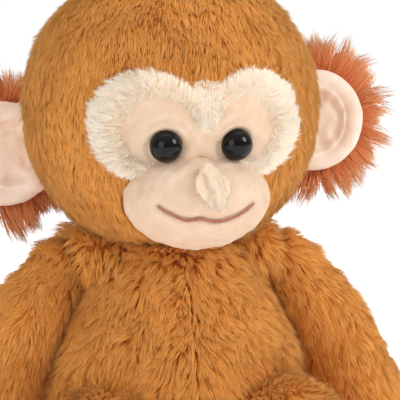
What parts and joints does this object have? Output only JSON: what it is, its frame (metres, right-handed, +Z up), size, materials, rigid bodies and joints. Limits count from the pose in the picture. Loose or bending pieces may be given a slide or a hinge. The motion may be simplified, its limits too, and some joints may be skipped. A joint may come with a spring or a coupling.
{
  "type": "stuffed monkey",
  "caption": "Seated plush monkey with a round head, pale brow mask, velour muzzle, cup ears, hanging arms, forward legs and a curled tail; it rests on a flat, weighted seat.",
  "frame": {"origin": "centre of the flat seat, on the plane that the toy sits on", "axes": "+Z up; the monkey faces -Y; +X is the monkey's own left"},
  "size_m": [0.258, 0.2414, 0.265],
  "materials": {
    "fur_brown": "matte",
    "fur_cream": "matte",
    "fur_ginger": "matte",
    "velour_peach": "matte",
    "thread_rose": "matte",
    "eye_black": "gloss",
    "washer_white": "satin",
    "fibre_white": "matte",
    "pellet_cloth": "matte"
  },
  "bodies": {
    "torso": {"torso_cover": "fur_brown", "torso_stuffing": "fibre_white", "pellet_bag": "pellet_cloth"},
    "neck": {"neck_seam": "thread_rose"},
    "nape": {"neck_stuffing": "fibre_white"},
    "head": {"head_cover": "fur_brown", "head_stuffing": "fibre_white", "face_patch": "velour_peach", "brow_mask": "fur_cream", "muzzle_cover": "velour_peach", "muzzle_stuffing": "fibre_white", "nose": "velour_peach", "mouth_stitching": "thread_rose", "eye_left": "eye_black", "eye_right": "eye_black", "eye_washer_left": "washer_white", "eye_washer_right": "washer_white"},
    "ear_left": {"ear_lining_left": "velour_peach", "ear_fringe_left": "fur_ginger"},
    "arm_left": {"arm_cover_left": "fur_brown", "arm_stuffing_left": "fibre_white", "hand_left": "velour_peach"},
    "leg_left": {"leg_cover_left": "fur_brown", "leg_stuffing_left": "fibre_white", "foot_left": "velour_peach"},
    "ear_right": {"ear_lining_right": "velour_peach", "ear_fringe_right": "fur_ginger"},
    "arm_right": {"arm_cover_right": "fur_brown", "arm_stuffing_right": "fibre_white", "hand_right": "velour_peach"},
    "leg_right": {"leg_cover_right": "fur_brown", "leg_stuffing_right": "fibre_white", "foot_right": "velour_peach"},
    "tail": {"tail_cover": "fur_brown", "tail_stuffing": "fibre_white"}
  },
  "joints": [
    {"name": "head_turn", "type": "hinge", "parent": "torso", "child": "neck", "pos_m": [0, 0, 0.193], "axis": [0, 0, 1], "range_deg": [-38, 38]},
    {"name": "head_tilt", "type": "hinge", "parent": "neck", "child": "nape", "pos_m": [0, 0, 0.193], "axis": [0, 1, 0], "range_deg": [-10, 10]},
    {"name": "head_nod", "type": "hinge", "parent": "nape", "child": "head", "pos_m": [0, 0, 0.193], "axis": [1, 0, 0], "range_deg": [-15, 5]},
    {"name": "ear_fold_left", "type": "hinge", "parent": "head", "child": "ear_left", "pos_m": [0.075, 0.017, 0.1835], "axis": [0, 0, -1], "range_deg": [-12, 20]},
    {"name": "arm_swing_left", "type": "hinge", "parent": "torso", "child": "arm_left", "pos_m": [0.061, -0.004, 0.118], "axis": [-1, 0, 0], "range_deg": [-30, 90]},
    {"name": "leg_splay_left", "type": "hinge", "parent": "torso", "child": "leg_left", "pos_m": [0.038, -0.03, 0.031], "axis": [0, 0, 1], "range_deg": [-6, 25]},
    {"name": "ear_fold_right", "type": "hinge", "parent": "head", "child": "ear_right", "pos_m": [-0.075, 0.017, 0.1705], "axis": [0, 0, 1], "range_deg": [-12, 20]},
    {"name": "arm_swing_right", "type": "hinge", "parent": "torso", "child": "arm_right", "pos_m": [-0.061, -0.004, 0.118], "axis": [-1, 0, 0], "range_deg": [-30, 90]},
    {"name": "leg_splay_right", "type": "hinge", "parent": "torso", "child": "leg_right", "pos_m": [-0.038, -0.03, 0.031], "axis": [0, 0, -1], "range_deg": [-6, 25]},
    {"name": "tail_wag", "type": "hinge", "parent": "torso", "child": "tail", "pos_m": [0, 0.066, 0.0103], "axis": [0, 0, 1], "range_deg": [-30, 45]}
  ]
}
